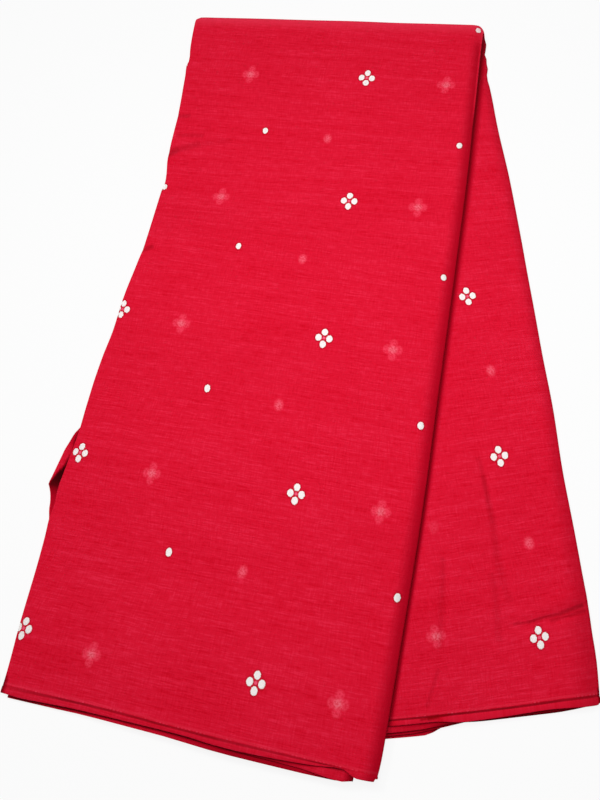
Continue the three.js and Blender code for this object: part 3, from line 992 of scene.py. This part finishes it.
# Where each part of the material sets in and is full, and how strong it is before and after. On a motif's
# edge the measure is 1, otherwise it is a distance or one of the noises.
SOFT_STEPS = by_name(
    "start end low high",
    darker=(0.5, 0.39),
    lighter=(0.5, 0.61),
    patches=(0.35, 0.6, 0.35, 1),
    below=(1.25, 0.6, 0, 0.5),
    below_centre=(4.8, 0.8, 0, 0.58),
    below_dot=(1, 0.2, 0, 0.3),
    deep_dot=(1.3, 0.4, 0, 0.3),
    cleft=(0, 1),
    shaded=(0, 0.5),
    plain_edge=(PLAIN_EDGE, PLAIN_EDGE + 0.5, 9, 0),
    halo=(1.6, 1.25, 0, 0.26),
    pink=(1.7, 0.7),
    motif_threads=(0.45, 0.72, 0, 0.8),
    motif=(1.08, 0.94),
    groove=(1.3, 0.35),
    groove_breaks=(0.3, 0.6, 0.85, 1),
    hem_band=(-0.2, -1, 0, 0.12),
    hem_ridge=(1.1, 0.3, 0, 0.13),
    stitch_row=(0.6, 0.25),
    stitch=(0.34, 0.22),
    stitch_pull=(0.42, 0.72, 0, 0.4),
    crease_end=(1.6, -0.6),
    dullness=(0.2, 0.8, 0.78, 0.95),
)
PETAL_OUT = (4.4, 5.3)  # from a flower's middle to its petals, sideways and up
PETAL_SIZE = (2.45, 3.0)  # half a petal's width and height
DOT_SIZE = (2.35, 3.15)
FRAY = 0.4  # how uneven a motif's edge is
BELOW_GROWTH = 1.35  # how much larger the motifs of the layer below look
BELOW_DOT_GROWTH = 1.25  # and its dots once more
RIDGE_AT = 2.1  # the painted highlight along the hem's ridge, as a distance past the groove
STITCHES_AT = 1.2  # and its row of stitches
STITCH_STEP = 2.6  # from one stitch to the next
# How strong the painted sheen along the top of the cross fold is.
FOLD_SHEEN = 0.3
RIB_STEP = 0.36  # from one thread to the next
RELIEF = dict(ribs=0.02, slubs=0.16, warp=0.07, motifs=0.18, stitches=0.4)  # how high each stands
SURFACE = {
    "Specular IOR Level": 0.04,
    "Sheen Weight": 0.01,
    "Sheen Roughness": 0.5,
    "Sheen Tint": (1.0, 0.5, 0.55, 1),
}


def oval(nodes, x, y, half_width, half_height):
    """1 on the edge of an oval, less inside."""
    across = nodes.math("DIVIDE", x, half_width)
    up = nodes.math("DIVIDE", y, half_height)
    return nodes.math("SQRT", nodes.total(nodes.times(across, across), nodes.times(up, up)))


def offset_from_lattice(nodes, value, spacing):
    """Distance in mm from the nearest whole number of a lattice coordinate."""
    return nodes.times(nodes.minus(value, nodes.math("ROUND", value)), spacing)


def motifs(nodes, u, v, column_size, row_size, grow=1.0):
    """How far a place is from the flowers and from the dots, 1 on their edges, and its distance from the
    middle of a flower."""
    petal = [size * grow for size in PETAL_SIZE]
    x = offset_from_lattice(nodes, u, column_size)
    y = offset_from_lattice(nodes, v, row_size)
    side = nodes.minus(nodes.math("ABSOLUTE", x), PETAL_OUT[0])
    above = nodes.minus(nodes.math("ABSOLUTE", y), PETAL_OUT[1])
    flower = nodes.math("MINIMUM", oval(nodes, side, y, *petal), oval(nodes, x, above, *petal))
    dot_x = offset_from_lattice(nodes, nodes.minus(u, 0.5), column_size)
    dot_y = offset_from_lattice(nodes, nodes.minus(v, 0.5), row_size)
    dot = oval(nodes, dot_x, dot_y, *(size * grow for size in DOT_SIZE))
    return flower, dot, oval(nodes, x, y, 1.0, 1.0)


def cloth_tone(nodes, threads):
    """Plain crimson, lighter and darker by threads and patches."""
    tone = nodes.total(*(nodes.times(threads[name], weight) for name, weight in TONE.items()))
    colour = nodes.mix(nodes.step("darker", tone), CRIMSON, DARK_CRIMSON)
    return nodes.mix(nodes.step("lighter", tone), colour, LIGHT_CRIMSON)


def show_through(nodes, colour, place, size, patches):
    """The pattern of the layers below, faint and patchy."""
    flower, dot, centre = motifs(nodes, *nodes.uv_map("below"), *size, BELOW_GROWTH)
    dot = nodes.math("DIVIDE", dot, BELOW_DOT_GROWTH)
    faint = nodes.step("below", nodes.math("MINIMUM", flower, dot))
    colour = nodes.mix(nodes.times(faint, patches), colour, SHOW_THROUGH_AND_SHEEN)
    bright = nodes.math("MAXIMUM", nodes.step("below_centre", centre), nodes.step("below_dot", dot))
    colour = nodes.mix(nodes.times(bright, patches), colour, SHOW_THROUGH_CENTRE)
    x, y = (nodes.minus(at, DEEP_DOT[name]) for at, name in zip(place, "xy"))
    deep_dot = nodes.step("deep_dot", oval(nodes, x, y, DEEP_DOT["half_width"], DEEP_DOT["half_height"]))
    return nodes.mix(nodes.times(deep_dot, patches), colour, SHOW_THROUGH_AND_SHEEN)


def woven_motifs(nodes, colour, woven_place, size, streaks):
    """The woven flowers and dots, with a painted shade round their edges and their pink middle, and where
    they are.
    """
    flower, dot, centre = motifs(nodes, *woven_place, *size)
    plain = nodes.step("plain_edge", nodes.attribute("edge_distance"))
    fray = nodes.times(nodes.minus(streaks("frays"), 0.5), FRAY)
    edge = nodes.total(nodes.math("MINIMUM", flower, dot), plain, fray)
    # A thin painted shade round each motif's edge.
    colour = nodes.mix(nodes.step("halo", edge), colour, SHADOW_RED)
    colour = nodes.mix(nodes.step("pink", nodes.total(centre, plain)), colour, CENTRE_PINK)
    threads = nodes.step("motif_threads", streaks("motif_threads"))
    inside = nodes.step("motif", edge)
    return nodes.mix(inside, colour, nodes.mix(threads, MOTIF_WHITE, MOTIF_THREAD)), inside


def hem_look(nodes, colour, along_weft, streaks):
    """The hem's darker band, a painted highlight along its ridge, painted shade in its groove, and its
    stitches, and where the stitches are.
    """
    past = nodes.attribute("past_groove")
    groove = nodes.step("groove", nodes.math("ABSOLUTE", past))
    breaks = nodes.step("groove_breaks", streaks("groove_breaks"))
    groove_shade_amount = nodes.times(nodes.attribute("painted_groove_shade"), breaks)
    colour = nodes.mix(nodes.step("hem_band", past), colour, SHADOW_RED)
    # A painted highlight along the hem's ridge.
    colour = nodes.mix(nodes.step("hem_ridge", nodes.apart(past, RIDGE_AT)), colour, SHOW_THROUGH_AND_SHEEN)
    # Painted shade in the hem's groove.
    colour = nodes.mix(nodes.times(groove, groove_shade_amount), colour, SHADOW_RED)
    row = nodes.step("stitch_row", nodes.apart(past, STITCHES_AT))
    along = nodes.math("FRACT", nodes.math("DIVIDE", along_weft, STITCH_STEP))
    stitch = nodes.step("stitch", nodes.apart(along, 0.5))
    pull = nodes.step("stitch_pull", streaks("stitch_pull"))
    stitches = nodes.times(nodes.times(row, stitch), pull)
    return nodes.mix(stitches, colour, SHOW_THROUGH_AND_SHEEN), stitches


def crease_profile(nodes, x, y, row):
    """1 along the middle of a short straight crease, 0 beside it and past its soft ends."""
    run = (row["x2"] - row["x1"], row["y2"] - row["y1"])
    length = math.hypot(*run)
    run = (run[0] / length, run[1] / length)
    from_x = nodes.minus(x, row["x1"])
    from_y = nodes.minus(y, row["y1"])
    along = nodes.math("MULTIPLY_ADD", from_x, run[0], nodes.times(from_y, run[1]))
    beside = nodes.math("MULTIPLY_ADD", from_x, run[1], nodes.times(from_y, -run[0]))
    past_end = nodes.minus(nodes.apart(along, length / 2), length / 2)
    across = nodes.ramp(nodes.math("ABSOLUTE", beside), row["width"], 0.0)
    return nodes.times(across, nodes.step("crease_end", past_end))


def sharp_creases(nodes, place):
    """How dark the painted shade in them is, and how deep they are."""
    dark, deep = 0.0, 0.0
    for row in CREASE_LINES:
        profile = crease_profile(nodes, *place, row)
        dark = nodes.math("MAXIMUM", dark, nodes.times(profile, row["shade"]))
        deep = nodes.math("MAXIMUM", deep, nodes.times(profile, row["depth"]))
    return dark, deep


def cotton_material():
    material, nodes = new_material("crimson_cotton")
    woven_place, size, place = (nodes.uv_map(name) for name in ("cloth", "weave_size", "table"))
    along_weft = nodes.times(woven_place[0], COLUMN_SPACING)
    along_warp = nodes.times(woven_place[1], ROW_SPACING)

    def streaks(name):
        row = STREAKS[name]
        x = nodes.math("DIVIDE", along_weft, row["along"])
        y = nodes.math("DIVIDE", along_warp, row["across"])
        return nodes.noise(x, y, row["shift"], row["detail"])

    threads = {name: streaks(name) for name in TONE}
    patches = nodes.step("patches", streaks("patches"))
    colour = show_through(nodes, cloth_tone(nodes, threads), place, size, patches)

    # Painted shade deep in the folds, by the hems and in the cleft beside the front leg: first towards a
    # purer red.
    cleft = nodes.times(nodes.step("cleft", nodes.attribute("cleft")), nodes.attribute("cleft_depth"))
    shade = nodes.math("MAXIMUM", nodes.attribute("fold_shade"), cleft)
    colour = nodes.mix(nodes.step("shaded", shade), colour, SHADE_RED)
    colour, inside = woven_motifs(nodes, colour, woven_place, size, streaks)
    colour, stitches = hem_look(nodes, colour, along_weft, streaks)
    # A painted sheen along the top of the cross fold.
    colour = nodes.mix(nodes.times(nodes.attribute("painted_fold_sheen"), FOLD_SHEEN), colour, SHOW_THROUGH_AND_SHEEN)
    crease_painted_shade, crease_deep = sharp_creases(nodes, place)
    # Painted shade in the sharp creases.
    colour = nodes.mix(crease_painted_shade, colour, CREASE_SHADE_RED)
    # Then, where the painted shade is deeper, towards near black.
    colour = nodes.mix(shade, colour, PAINTED_SHADE_DARK)

    # The threads themselves, for the light: fine ribs each way, thicker slubs and the raised motifs.
    ribs = (nodes.math("SINE", nodes.times(at, 2 * math.pi / RIB_STEP)) for at in (along_warp, along_weft))
    raised = dict(threads, ribs=nodes.total(*ribs), motifs=inside, stitches=stitches)
    height = nodes.total(*(nodes.times(raised[name], height) for name, height in RELIEF.items()))
    bump = nodes.add("ShaderNodeBump")
    nodes.put(bump.inputs["Height"], nodes.minus(height, crease_deep))
    nodes.put(bump.inputs["Strength"], 1.0)
    nodes.put(bump.inputs["Distance"], MM)

    shader = nodes.add("ShaderNodeBsdfPrincipled")
    nodes.put(shader.inputs["Base Color"], colour)
    nodes.put(shader.inputs["Roughness"], nodes.step("dullness", threads["slubs"]))
    nodes.put(shader.inputs["Normal"], bump.outputs[0])
    for name, value in SURFACE.items():
        nodes.put(shader.inputs[name], value)
    nodes.fill(nodes.add("ShaderNodeOutputMaterial"), shader.outputs[0])
    return material


# ---- The cloth ----

points = sheet_points()
grid = np.stack([points["x"] - TABLE_CENTRE[0], points["y"] - TABLE_CENTRE[1], points["z"]], 2)
flat, woven_row, weave_size = woven_places(points)
lattice = np.stack([(flat - FIRST_FLOWER_COLUMN) / COLUMN_SPACING, woven_row], 2)
hem_inward = column(HEM_ROWS, "inward")
hem_distance = np.full(grid.shape[:2], FAR_FROM_HEM)
hem_distance[: hem_inward.size] = hem_inward[:, None]
hem_distance[-hem_inward.size :] = hem_inward[::-1, None]
maps = {
    "cloth": lattice,
    "below": pattern_below(points, lattice),
    "weave_size": weave_size,
    "table": np.stack([points["x"], points["y"]], 2),
}
in_cleft, cleft_depth = cleft_shade(points)
first_edge, last_edge = flat.min(axis=1, keepdims=True), flat.max(axis=1, keepdims=True)
edge_distance = np.minimum(flat - first_edge, last_edge - flat)
values = {
    "cleft": in_cleft,
    "cleft_depth": cleft_depth,
    "past_groove": hem_distance - on_groove(points, "front_at", "back_at"),
    "edge_distance": edge_distance,
    "fold_shade": fold_shade(points, hem_distance),
    "painted_fold_sheen": painted_fold_sheen(points),
    "painted_groove_shade": on_groove(points, "front", "back"),
}
cloth = closed_sheet("cotton_cloth", grid, points["rows"]["thick"], maps, values)
cloth.data.materials.append(cotton_material())

# ---- Floor, light and camera ----

FLOOR_SIZE = 6000.0
FLOOR_DROP = 0.2  # just clear of the cloth
FLOOR_PALE = (0.86, 0.86, 0.86, 1)
FLOOR_WHITE = 0.88  # how much of it the camera sees as plain white
AMBIENT = 0.216
LAMPS = named_rows(  # in metres
    "name location target size watts",
    ("key", (-1.6, 1.0, 2.2), (0.0, 0.0, 0.0), 0.5, 26.5),
    ("near", (0.019, 0.016, 0.65), (0.019, 0.016, 0.0), 0.4, 2.9),
)
CAMERA_PLACE = (63.3, -248.5, 511.7)
CAMERA_TARGET = (-24.7, -71.7, 5.6)
CAMERA_ROLL = 16.57
CAMERA_LENS = 30.6
CAMERA_SENSOR = 36.0
CAMERA_NEAR = 10.0


def seen_directly(nodes):
    """1 for what the camera sees, 0 for the light that falls on the cloth."""
    path = nodes.add("ShaderNodeLightPath")
    seen = nodes.math("MAXIMUM", path.outputs["Is Camera Ray"], path.outputs["Is Glossy Ray"])
    return nodes.math("MAXIMUM", seen, path.outputs["Is Transmission Ray"])


def floor_material():
    """Pale and plain. The camera sees it nearly white, with the object's shadow."""
    material, nodes = new_material("pale_floor")
    pale = nodes.fill(nodes.add("ShaderNodeBsdfDiffuse"), FLOOR_PALE)
    white = nodes.add("ShaderNodeEmission").outputs[0]
    share = nodes.times(seen_directly(nodes), FLOOR_WHITE)
    blend = nodes.fill(nodes.add("ShaderNodeMixShader"), share, pale, white)
    nodes.fill(nodes.add("ShaderNodeOutputMaterial"), blend)
    return material


def flat_floor():
    half = FLOOR_SIZE / 2 * MM
    mesh = bpy.data.meshes.new("floor")
    corners = [(-half, -half, 0), (half, -half, 0), (half, half, 0), (-half, half, 0)]
    mesh.from_pydata(corners, [], [(0, 1, 2, 3)])
    mesh.materials.append(floor_material())
    piece = bpy.data.objects.new("floor", mesh)
    piece.location.z = -FLOOR_DROP * MM
    bpy.context.scene.collection.objects.link(piece)
    return piece


def studio_world():
    """Even white light, which the camera sees as plain white."""
    world = bpy.data.worlds.new("studio")
    bpy.context.scene.world = world
    world.use_nodes = True
    nodes = Nodes(world.node_tree)
    strength = nodes.ramp(seen_directly(nodes), 0.0, 1.0, AMBIENT, 1.0)
    background = nodes.fill(nodes.add("ShaderNodeBackground"), (1, 1, 1, 1), strength)
    nodes.fill(nodes.add("ShaderNodeOutputWorld"), background)


def soft_lamp(name, location, target, size, watts):
    lamp = bpy.data.lights.new(name, "AREA")
    lamp.size = size
    lamp.energy = watts
    lamp_object = bpy.data.objects.new(name, lamp)
    lamp_object.location = location
    aim = Vector(target) - Vector(location)
    lamp_object.rotation_euler = aim.to_track_quat("-Z", "Y").to_euler()
    bpy.context.scene.collection.objects.link(lamp_object)


def photo_camera():
    data = bpy.data.cameras.new("camera")
    data.lens = CAMERA_LENS
    data.sensor_width = CAMERA_SENSOR
    data.clip_start = CAMERA_NEAR * MM
    camera = bpy.data.objects.new("camera", data)
    camera.location = (Vector(CAMERA_PLACE) - Vector((*TABLE_CENTRE, 0.0))) * MM
    view = Vector(CAMERA_TARGET) - Vector(CAMERA_PLACE)
    roll = Quaternion((0, 0, 1), math.radians(-CAMERA_ROLL))
    camera.rotation_mode = "QUATERNION"
    camera.rotation_quaternion = view.to_track_quat("-Z", "Y") @ roll
    bpy.context.scene.collection.objects.link(camera)
    bpy.context.scene.camera = camera


floor = flat_floor()
studio_world()
for lamp_row in LAMPS:
    soft_lamp(**lamp_row)
photo_camera()
bpy.context.scene.view_settings.view_transform = "Standard"

# ---- Declarations ----

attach(cloth, "root")
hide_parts("folded_cloth")
